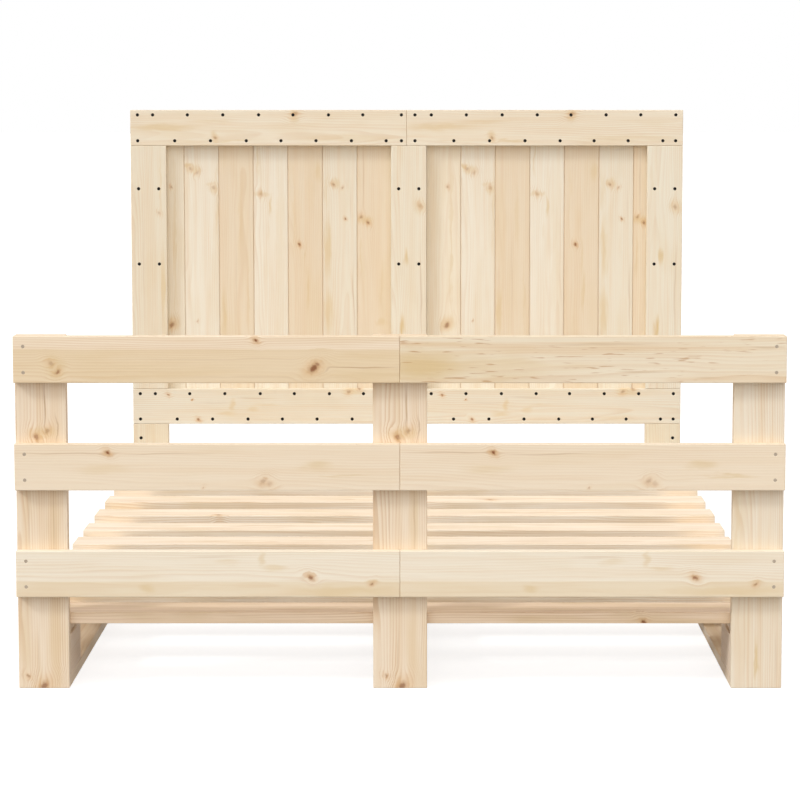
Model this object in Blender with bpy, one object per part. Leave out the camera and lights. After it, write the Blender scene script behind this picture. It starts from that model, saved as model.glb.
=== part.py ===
"""A wooden double bed of planed pine.

The base is built like a transport pallet: runners on the floor, blocks, stringers and slats.
Three posts carry the foot boards, and a framed tongue-and-groove panel makes the headboard.
Lengths are in metres. +X is the bed's right seen from its foot, +Y runs to the headboard.
"""

from math import radians

import bmesh
import bpy
from mathutils import Matrix, Vector

# Overall sizes
BED_WIDTH = 1.478
DECK_LENGTH = 2.000
HEADBOARD_HEIGHT = 1.100

# Gap left between two pieces that touch
SEAT_GAP = 0.0003

# Rounding of a planed board's long and short edges
ARRIS = 0.0015
ARRIS_SEGMENTS = 2

# Foot end: board rows on posts
FOOT_BOARD_HEIGHT = 0.090
FOOT_BOARD_THICKNESS = 0.020
FOOT_ROW_GAP = 0.1175
FOOT_ROW_UNDERSIDE = 0.183
FOOT_ROW_NAMES = ("bottom", "middle", "top")
POST_THICKNESS = 0.022
OUTER_POST_WIDTH = 0.098
CENTRE_POST_WIDTH = 0.1045

# Base: runners, blocks, stringers and slats
RUNNER_WIDTH = OUTER_POST_WIDTH
RUNNER_THICKNESS = 0.022
BLOCK_LENGTH = 0.145
BLOCK_HEIGHT = 0.078
BLOCKS_PER_RUNNER = 4
STRINGER_WIDTH = 0.090
STRINGER_THICKNESS = 0.022
SLAT_WIDTH = 0.100
SLAT_THICKNESS = 0.022
# Where each slat lies between the first and the last, as shares of that run
SLAT_PLACE_SHARES = (0, 0.1025, 0.21, 0.305, 0.4, 0.4975, 0.6045, 0.7125, 0.812, 0.906, 1)

# Headboard frame
RAIL_HEIGHT = 0.095
FRAME_THICKNESS = 0.022
BOTTOM_RAIL_UNDERSIDE = 0.255
STILE_WIDTH = 0.095

# Headboard panel: tongue-and-groove planks between two uprights
PLANK_COUNT = 15
PLANK_THICKNESS = 0.018
LEFT_UPRIGHT_WIDTH = 0.048
RIGHT_UPRIGHT_WIDTH = 0.037
TONGUE_LENGTH = 0.006
TONGUE_THICKNESS = 0.005
V_JOINT = 0.0015

# Countersunk seats of the screws: two in each end of the foot boards
SCREW_SHANK = 0.004
SCREW_SEAT_SIDES = 12
CUT_OVERRUN = 0.001
FOOT_SCREW_HEAD = 0.007
FOOT_SCREW_INSET = 0.0195
FOOT_SCREW_SPACING = 0.050

# and, in the headboard's frame, two staggered rows in each rail and some in each stile and leg
FRAME_SCREW_HEAD = 0.009
RAIL_SCREW_SPACING = 0.069
RAIL_END_INSET = 0.0195
STILE_SCREW_SPACING = 0.054
STILE_SCREW_DROP = 0.115
STILE_SCREW_STEP = 0.202
LEG_SCREW_DROP = 0.038
# Where the screws stand along a rail, as shares of a plank's cover, counted from the first seam
UPPER_SCREW_SHARES = (0.13, 1.13, 2.15, 3.18, 4.17, 5.19, 6.18, 7.29, 7.68,
                      8.15, 9.16, 10.19, 11.20, 12.17, 13.18, 14.18)
LOWER_SCREW_SHARES = (0.76, 1.79, 2.82, 3.82, 4.83, 5.85, 6.85, 7.29, 7.68,
                      8.80, 9.83, 10.85, 11.86, 12.84, 13.82, 14.82)

# Pine tones as linear colours
PALE_PINE = (0.86, 0.73, 0.53)
WARM_PINE = (0.80, 0.65, 0.45)
SAWN_PINE = (0.72, 0.57, 0.38)
PINE_ROUGHNESS = 0.6

# Stations along Y, from the foot boards' front to the planks' back, before centring
POST_FRONT = FOOT_BOARD_THICKNESS + SEAT_GAP
DECK_FRONT = POST_FRONT + POST_THICKNESS + SEAT_GAP
DECK_BACK = DECK_FRONT + DECK_LENGTH
FRAME_FRONT = DECK_BACK + SEAT_GAP
FRAME_BACK = FRAME_FRONT + FRAME_THICKNESS
PANEL_FRONT = FRAME_BACK + SEAT_GAP
PANEL_BACK = PANEL_FRONT + PLANK_THICKNESS
MID_LENGTH = PANEL_BACK / 2

# Heights of the base's layers
BLOCK_UNDERSIDE = RUNNER_THICKNESS + SEAT_GAP
STRINGER_UNDERSIDE = BLOCK_UNDERSIDE + BLOCK_HEIGHT + SEAT_GAP
SLAT_UNDERSIDE = STRINGER_UNDERSIDE + STRINGER_THICKNESS + SEAT_GAP

HALF_WIDTH = BED_WIDTH / 2
OUTER_AXIS = HALF_WIDTH - RUNNER_WIDTH / 2
SIDE_AXES = (("left", -OUTER_AXIS), ("right", OUTER_AXIS))
BEARER_AXES = (("left", -OUTER_AXIS), ("centre", 0), ("right", OUTER_AXIS))


def remove_old_objects():
    for old in list(bpy.data.objects):
        bpy.data.objects.remove(old, do_unlink=True)


def pine(name, colour):
    """Principled material of one piece of planed pine."""
    material = bpy.data.materials.new(name + "_pine")
    material.use_nodes = True
    shader = material.node_tree.nodes["Principled BSDF"]
    shader.inputs["Base Color"].default_value = (*colour, 1)
    shader.inputs["Roughness"].default_value = PINE_ROUGHNESS
    shader.inputs["Metallic"].default_value = 0
    material.diffuse_color = (*colour, 1)
    return material


def add_object(name, shape, place, colour):
    """Turn a bmesh into a named object with its own material."""
    bmesh.ops.recalc_face_normals(shape, faces=shape.faces)
    mesh = bpy.data.meshes.new(name)
    shape.to_mesh(mesh)
    shape.free()
    mesh.materials.append(pine(name, colour))
    piece = bpy.data.objects.new(name, mesh)
    piece.location = place
    bpy.context.scene.collection.objects.link(piece)
    return piece


def ease_edges(piece):
    """Round the outer edges that carry a bevel weight."""
    bevel = piece.modifiers.new("eased_edges", "BEVEL")
    bevel.limit_method = "WEIGHT"
    bevel.width = ARRIS
    bevel.segments = ARRIS_SEGMENTS


def weigh_outer_edges(shape):
    """Mark the convex edges, so that only they are eased."""
    weight = shape.edges.layers.float.new("bevel_weight_edge")
    shape.normal_update()
    for edge in shape.edges:
        edge[weight] = 1 if edge.is_convex and edge.calc_face_angle() > 0 else 0


def add_board(name, x_range, y_range, z_range, colour=PALE_PINE):
    """A planed board between two limits on each axis, with eased edges."""
    low = Vector((x_range[0], y_range[0] - MID_LENGTH, z_range[0]))
    high = Vector((x_range[1], y_range[1] - MID_LENGTH, z_range[1]))
    shape = bmesh.new()
    bmesh.ops.create_cube(shape, size=1)
    bmesh.ops.scale(shape, vec=high - low, verts=shape.verts)
    weigh_outer_edges(shape)
    piece = add_object(name, shape, (low + high) / 2, colour)
    ease_edges(piece)
    return piece


def countersink(piece, front, head_width, places):
    """Cut a seat for a screw's head at each (X, Z) place on the board's front face."""
    shank = SCREW_SHANK / 2
    rim = head_width / 2 + SEAT_GAP
    depth = rim - shank
    shape = bmesh.new()
    for x, z in places:
        middle = Vector((x, front - MID_LENGTH + (depth - CUT_OVERRUN) / 2, z))
        facing = Matrix.Translation(middle) @ Matrix.Rotation(radians(90), 4, "X")
        bmesh.ops.create_cone(shape, cap_ends=True, segments=SCREW_SEAT_SIDES, radius1=shank,
                              radius2=rim + CUT_OVERRUN, depth=depth + CUT_OVERRUN, matrix=facing)
    cutter = add_object(piece.name + "_seats", shape, (0, 0, 0), PALE_PINE)
    cutter.hide_render = True
    cutter.display_type = "WIRE"
    seats = piece.modifiers.new("screw_seats", "BOOLEAN")
    seats.object = cutter


def span(start, length):
    return (start, start + length)


def around(middle, length):
    return (middle - length / 2, middle + length / 2)


def half_widths():
    """X limits of the left and the right half of a board that is split at the middle."""
    return (
        ("left", (-HALF_WIDTH, -SEAT_GAP / 2)),
        ("right", (SEAT_GAP / 2, HALF_WIDTH)),
    )


def foot_row_underside(row):
    return FOOT_ROW_UNDERSIDE + row * (FOOT_BOARD_HEIGHT + FOOT_ROW_GAP)


def add_foot_end():
    """Three rows of half boards on three posts."""
    depths = span(0, FOOT_BOARD_THICKNESS)
    screw_columns = {"left": FOOT_SCREW_INSET - HALF_WIDTH, "right": HALF_WIDTH - FOOT_SCREW_INSET}
    for row, row_name in enumerate(FOOT_ROW_NAMES):
        heights = span(foot_row_underside(row), FOOT_BOARD_HEIGHT)
        middle = foot_row_underside(row) + FOOT_BOARD_HEIGHT / 2
        for side, x_range in half_widths():
            board = add_board(f"foot_board_{row_name}_{side}", x_range, depths, heights)
            screws = [(screw_columns[side], z) for z in around(middle, FOOT_SCREW_SPACING)]
            countersink(board, 0, FOOT_SCREW_HEAD, screws)
    post_top = foot_row_underside(len(FOOT_ROW_NAMES) - 1) + FOOT_BOARD_HEIGHT
    posts = (
        ("left", span(-HALF_WIDTH, OUTER_POST_WIDTH)),
        ("centre", around(0, CENTRE_POST_WIDTH)),
        ("right", span(HALF_WIDTH - OUTER_POST_WIDTH, OUTER_POST_WIDTH)),
    )
    for side, x_range in posts:
        depths = span(POST_FRONT, POST_THICKNESS)
        add_board(f"foot_post_{side}", x_range, depths, (0, post_top), WARM_PINE)


def block_fronts():
    """Y of each block's front face, evenly spread over the runner."""
    step = (DECK_LENGTH - BLOCK_LENGTH) / (BLOCKS_PER_RUNNER - 1)
    return [DECK_FRONT + index * step for index in range(BLOCKS_PER_RUNNER)]


def add_side_runners():
    """A runner on the floor at each side, with its blocks standing on it."""
    for side, axis in SIDE_AXES:
        width = around(axis, RUNNER_WIDTH)
        floor_to_top = (0, RUNNER_THICKNESS)
        add_board(f"runner_{side}", width, (DECK_FRONT, DECK_BACK), floor_to_top, WARM_PINE)
        for number, front in enumerate(block_fronts(), start=1):
            heights = span(BLOCK_UNDERSIDE, BLOCK_HEIGHT)
            add_board(f"block_{side}_{number}", width, span(front, BLOCK_LENGTH), heights, SAWN_PINE)


def bearer_outline():
    """Side view of the centre bearer as (Y, Z): a runner that carries its row of blocks."""
    block_top = BLOCK_UNDERSIDE + BLOCK_HEIGHT
    points = [(DECK_BACK, 0), (DECK_FRONT, 0)]
    for front in block_fronts():
        points += [(front, RUNNER_THICKNESS), (front, block_top)]
        points += [(front + BLOCK_LENGTH, block_top), (front + BLOCK_LENGTH, RUNNER_THICKNESS)]
    # The first and last blocks stand flush with the runner's ends, where no step is left
    return points[:2] + points[3:-1]


def add_centre_bearer():
    """Centre runner and its blocks, fastened into one piece."""
    outline = bearer_outline()
    shape = bmesh.new()
    corners = [shape.verts.new((-RUNNER_WIDTH / 2, y - MID_LENGTH, z)) for y, z in outline]
    side = shape.faces.new(corners)
    grown = bmesh.ops.extrude_face_region(shape, geom=[side])["geom"]
    moved = [item for item in grown if isinstance(item, bmesh.types.BMVert)]
    bmesh.ops.translate(shape, vec=(RUNNER_WIDTH, 0, 0), verts=moved)
    bmesh.ops.recalc_face_normals(shape, faces=shape.faces)
    weigh_outer_edges(shape)
    ease_edges(add_object("centre_bearer", shape, (0, 0, 0), SAWN_PINE))


def add_stringers():
    """Lengthwise planks on the blocks, under the slats."""
    for side, axis in BEARER_AXES:
        width = around(axis, STRINGER_WIDTH)
        heights = span(STRINGER_UNDERSIDE, STRINGER_THICKNESS)
        add_board(f"stringer_{side}", width, (DECK_FRONT, DECK_BACK), heights, WARM_PINE)


def add_slats():
    """Slats across the stringers, over the bed's full width."""
    free_run = DECK_LENGTH - SLAT_WIDTH
    for number, share in enumerate(SLAT_PLACE_SHARES, start=1):
        depths = span(DECK_FRONT + share * free_run, SLAT_WIDTH)
        heights = span(SLAT_UNDERSIDE, SLAT_THICKNESS)
        add_board(f"slat_{number:02d}", (-HALF_WIDTH, HALF_WIDTH), depths, heights)


def plank_cover():
    """Width that one plank covers, seam to seam."""
    return (BED_WIDTH - LEFT_UPRIGHT_WIDTH - RIGHT_UPRIGHT_WIDTH) / PLANK_COUNT


def seam(index):
    """X of the seam on the left of the plank with this index."""
    return -HALF_WIDTH + LEFT_UPRIGHT_WIDTH + index * plank_cover()


def rail_columns(shares):
    """X of each screw in one row of the rails."""
    end = HALF_WIDTH - RAIL_END_INSET
    return [-end] + [seam(0) + share * plank_cover() for share in shares] + [end]


def add_rail(name, x_range, underside):
    """One half of a rail, with two staggered rows of screws that reach into the planks."""
    rail = add_board(name, x_range, (FRAME_FRONT, FRAME_BACK), span(underside, RAIL_HEIGHT))
    lower, upper = around(underside + RAIL_HEIGHT / 2, RAIL_SCREW_SPACING)
    rows = ((rail_columns(UPPER_SCREW_SHARES), upper), (rail_columns(LOWER_SCREW_SHARES), lower))
    screws = [(x, z) for columns, z in rows for x in columns if x_range[0] < x < x_range[1]]
    countersink(rail, FRAME_FRONT, FRAME_SCREW_HEAD, screws)


def add_stile(name, middle, underside, top):
    """A stile between the rails, screwed in two columns near its top."""
    stile = add_board(name, around(middle, STILE_WIDTH), (FRAME_FRONT, FRAME_BACK), (underside, top))
    rows = (top - STILE_SCREW_DROP, top - STILE_SCREW_DROP - STILE_SCREW_STEP)
    screws = [(x, z) for x in around(middle, STILE_SCREW_SPACING) for z in rows]
    countersink(stile, FRAME_FRONT, FRAME_SCREW_HEAD, screws)


def add_frame():
    """Rails, stiles and front legs of the headboard, all in one plane."""
    top_rail_underside = HEADBOARD_HEIGHT - RAIL_HEIGHT
    bottom_rail_top = BOTTOM_RAIL_UNDERSIDE + RAIL_HEIGHT
    for side, x_range in half_widths():
        add_rail(f"headboard_top_rail_{side}", x_range, top_rail_underside)
        add_rail(f"headboard_bottom_rail_{side}", x_range, BOTTOM_RAIL_UNDERSIDE)
    edge = HALF_WIDTH - STILE_WIDTH / 2
    middle_plank = seam(PLANK_COUNT // 2) + plank_cover() / 2
    stile_foot, stile_top = bottom_rail_top + SEAT_GAP, top_rail_underside - SEAT_GAP
    for side, middle in (("left", -edge), ("centre", middle_plank), ("right", edge)):
        add_stile(f"headboard_stile_{side}", middle, stile_foot, stile_top)
    for side, outward in (("left", -1), ("right", 1)):
        leg_top = BOTTOM_RAIL_UNDERSIDE - SEAT_GAP
        width = around(outward * edge, STILE_WIDTH)
        leg = add_board(f"headboard_leg_{side}", width, (FRAME_FRONT, FRAME_BACK), (0, leg_top), WARM_PINE)
        screw = (outward * (edge + STILE_SCREW_SPACING / 2), leg_top - LEG_SCREW_DROP)
        countersink(leg, FRAME_FRONT, FRAME_SCREW_HEAD, [screw])


def add_uprights():
    """Uprights behind the outer stiles and legs, beside the planks."""
    uprights = (
        ("left", (-HALF_WIDTH, seam(0) - SEAT_GAP / 2)),
        ("right", (seam(PLANK_COUNT) + SEAT_GAP / 2, HALF_WIDTH)),
    )
    for side, x_range in uprights:
        depths = (PANEL_FRONT, PANEL_BACK)
        add_board(f"headboard_upright_{side}", x_range, depths, (0, HEADBOARD_HEIGHT), WARM_PINE)


def plank_outline(has_groove, has_tongue):
    """Section of a plank as (X, Y), from its left seam and its front face."""
    left = SEAT_GAP / 2
    right = plank_cover() - SEAT_GAP / 2
    middle = PLANK_THICKNESS / 2
    tongue = around(middle, TONGUE_THICKNESS)
    groove = around(middle, TONGUE_THICKNESS + 2 * SEAT_GAP)
    points = [(left + V_JOINT, 0), (right - V_JOINT, 0), (right, V_JOINT)]
    if has_tongue:
        tip = right + TONGUE_LENGTH
        points += [(right, tongue[0]), (tip, tongue[0]), (tip, tongue[1]), (right, tongue[1])]
    points += [(right, PLANK_THICKNESS - V_JOINT), (right - V_JOINT, PLANK_THICKNESS)]
    points += [(left + V_JOINT, PLANK_THICKNESS), (left, PLANK_THICKNESS - V_JOINT)]
    if has_groove:
        root = left + TONGUE_LENGTH
        points += [(left, groove[1]), (root, groove[1]), (root, groove[0]), (left, groove[0])]
    points.append((left, V_JOINT))
    return points


def add_planks():
    """Upright planks whose tongues reach into the next plank's groove."""
    for index in range(PLANK_COUNT):
        outline = plank_outline(has_groove=index > 0, has_tongue=index < PLANK_COUNT - 1)
        shape = bmesh.new()
        section = shape.faces.new([shape.verts.new((x, y, 0)) for x, y in outline])
        grown = bmesh.ops.extrude_face_region(shape, geom=[section])["geom"]
        moved = [item for item in grown if isinstance(item, bmesh.types.BMVert)]
        height = HEADBOARD_HEIGHT - BOTTOM_RAIL_UNDERSIDE
        bmesh.ops.translate(shape, vec=(0, 0, height), verts=moved)
        place = (seam(index), PANEL_FRONT - MID_LENGTH, BOTTOM_RAIL_UNDERSIDE)
        add_object(f"headboard_plank_{index + 1:02d}", shape, place, PALE_PINE)


def build_bed():
    remove_old_objects()
    add_foot_end()
    add_side_runners()
    add_centre_bearer()
    add_stringers()
    add_slats()
    add_frame()
    add_uprights()
    add_planks()


build_bed()
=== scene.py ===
# %% [markdown]
# # A double bed of unfinished pine
#
# This script dresses the imported solids of the bed for a picture. The solids already have every board in its
# place, so nothing is moved here. What is added is what a solid can't carry: the look of the wood, the screws
# that hold the boards, a floor, the light and the camera. The first step loads the solids and keeps their
# box, so that at the end the dressed bed's growth over it can be printed. The first step loads the solids and
# keeps their box, because the dressed bed must not grow out of it.

# %% Load the imported bed
import math

import bmesh
import bpy
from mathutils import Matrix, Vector


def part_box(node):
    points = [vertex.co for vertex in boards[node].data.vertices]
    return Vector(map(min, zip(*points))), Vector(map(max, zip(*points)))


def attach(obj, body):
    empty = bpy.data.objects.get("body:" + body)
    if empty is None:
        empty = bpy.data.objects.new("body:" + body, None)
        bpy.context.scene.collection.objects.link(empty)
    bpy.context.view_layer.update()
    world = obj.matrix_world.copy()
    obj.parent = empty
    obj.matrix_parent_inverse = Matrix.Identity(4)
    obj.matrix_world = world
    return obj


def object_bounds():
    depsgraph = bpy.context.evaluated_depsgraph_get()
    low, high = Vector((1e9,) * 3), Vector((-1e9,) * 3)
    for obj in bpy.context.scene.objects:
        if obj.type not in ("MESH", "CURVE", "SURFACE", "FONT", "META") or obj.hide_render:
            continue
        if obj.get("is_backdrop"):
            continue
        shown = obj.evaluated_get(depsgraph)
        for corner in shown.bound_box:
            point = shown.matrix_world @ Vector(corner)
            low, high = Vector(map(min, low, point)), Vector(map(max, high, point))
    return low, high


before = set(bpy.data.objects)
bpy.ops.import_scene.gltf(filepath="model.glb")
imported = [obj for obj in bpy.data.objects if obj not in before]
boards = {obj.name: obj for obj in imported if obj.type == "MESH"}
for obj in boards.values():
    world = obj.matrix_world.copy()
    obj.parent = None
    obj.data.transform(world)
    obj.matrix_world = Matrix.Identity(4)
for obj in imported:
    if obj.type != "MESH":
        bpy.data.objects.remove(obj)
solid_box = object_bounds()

print("boards:", len(boards))
print("box in mm:", [round((high - low) * 1000, 1) for low, high in zip(*solid_box)])

# %% [markdown]
# ## The camera
#
# The bed is seen from its foot end, from a little right of its middle, by a long lens about five metres away.
# The lens stands above the bed and looks nearly level, so the upright boards stay upright in the picture. A
# camera that is tipped far down would make them lean together, and one that is dead level would need a very
# large lens shift. A tip of five and a half degrees with a small shift moves no corner of the bed by more
# than four pixels across or up in a picture of 800 pixels, set against the level camera.

# %% Set up the camera
CAMERA_PLACE = (0.0457, -5.9933, 1.1608)
CAMERA_TIP = math.radians(5.45)
CAMERA_LENS = 117.375
CAMERA_SHIFT = (-0.0297, -0.08)

lens = bpy.data.cameras.new("camera")
lens.lens = CAMERA_LENS
lens.shift_x, lens.shift_y = CAMERA_SHIFT
camera = bpy.data.objects.new("camera", lens)
camera.location = CAMERA_PLACE
camera.rotation_euler = (math.pi / 2 - CAMERA_TIP, 0, 0)
bpy.context.scene.collection.objects.link(camera)
bpy.context.scene.camera = camera
bpy.context.scene.view_settings.view_transform = "Standard"
print("camera stands", round(-CAMERA_PLACE[1] + solid_box[0].y, 2), "m in front of the foot boards")

# %% [markdown]
# ## Three small helpers for colours and nodes
#
# A colour is easiest to read as the hex number that a picture program shows, but the renderer counts in
# light, where twice the number is twice the light. One function turns the first into the second. Another adds
# a shader node, sets what it is told and links what it is given, so that a material reads as a list of steps.
# The third starts a material.


# %% Helpers
def linear(hex_colour):
    """The renderer's colour for an sRGB hex value such as 'E8D2B4'."""
    shares = [int(hex_colour[i:i + 2], 16) / 255 for i in (0, 2, 4)]
    return [s / 12.92 if s <= 0.04045 else ((s + 0.055) / 1.055) ** 2.4 for s in shares] + [1]


def add_node(tree, kind, inputs=(), **settings):
    """Adds a node. An input is a number, a colour, a node or an output; a setting is the node's own."""
    node = tree.nodes.new(kind)
    for setting, value in settings.items():
        setattr(node, setting, value)
    for socket, value in dict(inputs).items():
        if isinstance(value, bpy.types.Node):
            value = next(output for output in value.outputs if output.enabled)
        if isinstance(value, bpy.types.NodeSocket):
            tree.links.new(value, node.inputs[socket])
        else:
            node.inputs[socket].default_value = value
    return node


def fresh_material(name):
    """An empty material, its tree and its Principled shader, which is linked to the output."""
    material = bpy.data.materials.new(name)
    material.use_nodes = True
    tree = material.node_tree
    tree.nodes.clear()
    shader = add_node(tree, "ShaderNodeBsdfPrincipled")
    add_node(tree, "ShaderNodeOutputMaterial", {0: shader})
    return material, tree, shader


# A soft step runs from one number to another without a sharp start or end. In its node, inputs 0 to 4 are the
# value, where the step starts and ends, and what it gives there; one left out is 0 for a start and 1 for an
# end. A mix of colours takes its share as 0 and its colours as 6 and 7.
SOFT_STEP = {"interpolation_type": "SMOOTHSTEP"}
COLOUR_MIX = {"data_type": "RGBA"}
print("pale pine as light:", [round(share, 3) for share in linear("EFE0C7")[:3]])

# %% [markdown]
# ## How a pine board gets its figure
#
# Pine grows a pale, soft layer in spring and a thin, darker and harder one in summer. A board is a flat cut
# through these round layers, so its face shows long lines where the cut runs beside the heart of the tree,
# and pointed arches where it runs across the layers. The figure could be painted on each face, but then faces
# and ends would not agree. So each board is treated as a piece of a tree: a line for the heart lies somewhere
# below the face, the distance from it is cut into yearly rings, and slow noise bends the rings as real wind
# and weather do.
#
# The sizes are real: a year is 3 to 5 mm of pine, a fibre bundle about 1 mm, a coloured streak 10 to 40 mm.
# Fibres are finer than a pixel of the picture, so they are drawn about 3 mm wide.

# %% Noise that is stretched along the grain
YEAR = 0.0042
BEND_REACH = 0.012
BEND_LENGTH, BEND_WIDTH = 0.700, 0.110
DEPTH_BEND_LENGTH, DEPTH_BEND_WIDTH = 0.420, 0.077
STREAK_LENGTH, STREAK_WIDTH = 0.550, 0.016
FIGURE_LENGTH, FIGURE_WIDTH = 0.385, 0.0352
CLOUD_LENGTH, CLOUD_WIDTH = 0.210, 0.038
FIBRE_LENGTH, FIBRE_WIDTH = 0.120, 0.003
FLECK_LENGTH, FLECK_WIDTH = 0.042, 0.0042
SAW_MARK_SPACING = 0.0045
NOISE_ROUGHNESS = 0.55
# how far one unit of a board's seed moves its noise, and what each noise adds to the seed
SEED_STEPS = (1.31, 2.17, 0.73)
FIBRE_SEED, DEPTH_SEED, STAIN_SEED, FIGURE_SEED = 1.9, 3.7, 4.4, 5.3
FLECK_SEED, STREAK_SEED, CLOUD_SEED = 7.7, 9.1, 12.9
print("one year in mm:", round(YEAR * 1000, 1))


def along_grain(tree, board_place, length, width, seed, detail=2.0):
    """Smooth noise from 0 to 1 whose blobs are so long along the board and so wide across it."""
    stretched = add_node(tree, "ShaderNodeMapping", {
        "Vector": board_place,
        "Location": [seed * step for step in SEED_STEPS],
        "Scale": (1 / length, 1 / width, 1 / width),
    })
    return add_node(tree, "ShaderNodeTexNoise", {
        "Vector": stretched,
        "Scale": 1.0,
        "Detail": detail,
        "Roughness": NOISE_ROUGHNESS,
    })


# %% [markdown]
# ## Places on a board
#
# The solids stand in the bed's frame, where one board runs left to right and another upwards. A material that
# reads these places as they are would let the grain run the wrong way in half of them. So each board first
# turns its places into its own three: along its length, across its face and through its thickness, counted
# from its middle.

# %% From the bed's frame to a board's own
AXIS_NUMBER = {"X": 0, "Y": 1, "Z": 2}


def on_board(tree, node, axes):
    """Places along, across and through the board. axes names the world axis of each, such as XZY."""
    low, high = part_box(node)
    place = add_node(tree, "ShaderNodeTexCoord").outputs["Object"]
    from_middle = add_node(tree, "ShaderNodeVectorMath", {0: place, 1: (low + high) / 2},
                           operation="SUBTRACT")
    parts = add_node(tree, "ShaderNodeSeparateXYZ", {0: from_middle})
    return [parts.outputs[axis] for axis in axes]


def marks_on_board(node, axes, marks_mm):
    """Marks given in millimetres of the bed's frame, as metres from the board's middle."""
    low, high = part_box(node)
    middle = (low + high) / 2
    first, second = middle[AXIS_NUMBER[axes[0]]], middle[AXIS_NUMBER[axes[1]]]
    return [(a / 1000 - first, c / 1000 - second, *(size / 1000 for size in sizes), strength)
            for a, c, *sizes, strength in marks_mm]


def moved(marks_mm, along=0, across=0):
    """The same marks further along or across, because boards from one log show the same figure."""
    return [(a + along, c + across, *rest) for a, c, *rest in marks_mm]


def broken_edges(tree, board_place, u, v, grit, length, width, seed):
    """The board's face as a flat place, shaken a little so that marks on it get uneven edges."""
    shake = along_grain(tree, board_place, length, width, seed).outputs["Color"]
    shift = add_node(tree, "ShaderNodeVectorMath", {0: shake, 1: (0.5, 0.5, 0.5)}, operation="SUBTRACT")
    shift = add_node(tree, "ShaderNodeVectorMath", {0: shift, 1: (2 * grit, 2 * grit, 0)},
                     operation="MULTIPLY")
    face = add_node(tree, "ShaderNodeCombineXYZ", {0: u, 1: v})
    return add_node(tree, "ShaderNodeVectorMath", {0: face, 1: shift}, operation="ADD")


# %% [markdown]
# ## Knots
#
# A knot is the root of a branch. On the face it is a brown spot with a small dark core, in a halo of amber
# resin, and the layers of the trunk flow round it. It could be a dark dot on top of the figure, but then the
# lines would run straight through it. So each knot also pushes the figure aside: near it, the board is read
# as if it were closer to the knot's middle, which parts the lines like water round a stone. A real knot is
# hardly ever round, because the branch left the trunk at a slant, so the spot is longer one way, turned, and
# broken by a little noise.
#
# The places of the knots are given in millimetres in the bed's own frame, as they are seen in the picture:
# along the board, across it, the radius, and from 0 to 1 how dark it is.

# %% Knots on a board
KNOT_STRETCH = 1.45
KNOT_TURN = math.radians(35)
KNOT_PUSH = 0.82
KNOT_GRIT = 0.0036
KNOT_GRIT_SIZE = 0.0075
# where each part of a knot starts and where it is full, in radii from the knot's middle
NEAR_STEP, CORE_STEP, BROWN_STEP, HALO_STEP = (4.2, 0.4), (0.72, 0.25), (1.25, 0.50), (2.5, 0.8)
# how strong the brown spot and the halo are at least, and what a fully dark knot adds
LEAST_SHARE, BROWN_GAIN, HALO_GAIN = 0.12, 0.66, 0.28


def add_knots(tree, face, v, knots):
    """The push across the grain in metres, and from 0 to 1 the core, brown spot, halo and nearness."""
    totals = None
    for number, (along, across, radius, darkness) in enumerate(knots):
        turn = KNOT_TURN if number % 2 else -KNOT_TURN
        spot = add_node(tree, "ShaderNodeMapping", {"Vector": face, "Location": (along, across, 0),
                                                    "Rotation": (0, 0, turn),
                                                    "Scale": (radius * KNOT_STRETCH, radius, 1)},
                                                    vector_type="TEXTURE")
        reach = add_node(tree, "ShaderNodeVectorMath", {0: spot}, operation="LENGTH")
        steps = [(CORE_STEP, darkness), (BROWN_STEP, LEAST_SHARE + darkness * BROWN_GAIN),
                 (HALO_STEP, LEAST_SHARE + darkness * HALO_GAIN), (NEAR_STEP, 1.0)]
        parts = [add_node(tree, "ShaderNodeMapRange", {0: reach, 1: start, 2: full, 4: share}, **SOFT_STEP)
                 for (start, full), share in steps]
        beside = add_node(tree, "ShaderNodeMath", {0: v, 1: across}, operation="SUBTRACT")
        beside = add_node(tree, "ShaderNodeMath", {0: beside, 1: KNOT_PUSH}, operation="MULTIPLY")
        these = [add_node(tree, "ShaderNodeMath", {0: beside, 1: parts[-1]}, operation="MULTIPLY"), *parts]
        if totals is None:
            totals = these
        else:
            totals = [add_node(tree, "ShaderNodeMath", {0: total, 1: this},
                               operation="MAXIMUM" if index else "ADD")
                      for index, (total, this) in enumerate(zip(totals, these))]
    return totals


# %% [markdown]
# ## Clouds and streaks
#
# Where resin soaked the wood beside an old branch, the board has pale amber clouds with no edge, and where a
# single layer took it up, a thin brown streak. They could be left to chance, but in the picture they are what
# makes one board known from the next, so they are placed like the knots: along, across, half their length,
# half their width and their strength. Whatever has a half size under 3 mm one way counts as a streak and is
# browner.

# %% Amber clouds and brown streaks
STREAK_LIMIT = 0.003
STAIN_START, STAIN_FULL = 1.35, 0.2
CLOUD_GRIT, STREAK_GRIT = 0.011, 0.006
CLOUD_GRIT_SIZE, STREAK_GRIT_SIZE = (0.060, 0.011), (0.140, 0.030)


def add_stains(tree, face, stains):
    """The strength of these clouds or streaks, from 0 to 1."""
    total = None
    for along, across, half_length, half_width, strength in stains:
        spot = add_node(tree, "ShaderNodeMapping", {"Vector": face, "Location": (along, across, 0),
                                                    "Scale": (half_length, half_width, 1)},
                                                    vector_type="TEXTURE")
        reach = add_node(tree, "ShaderNodeVectorMath", {0: spot}, operation="LENGTH")
        cloud = add_node(tree, "ShaderNodeMapRange", {0: reach, 1: STAIN_START, 2: STAIN_FULL, 4: strength},
                         **SOFT_STEP)
        total = add_node(tree, "ShaderNodeMath", {0: total, 1: cloud},
                         operation="MAXIMUM") if total else cloud
    return total


# %% [markdown]
# ## Yearly layers
#
# The heart of the tree runs below the board and a little beside it. How far each point of the board lies from
# it says which year it grew in. Within a year the colour goes up slowly through spring and summer and falls
# back in one step, because growth stops in autumn and starts pale again.

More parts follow.
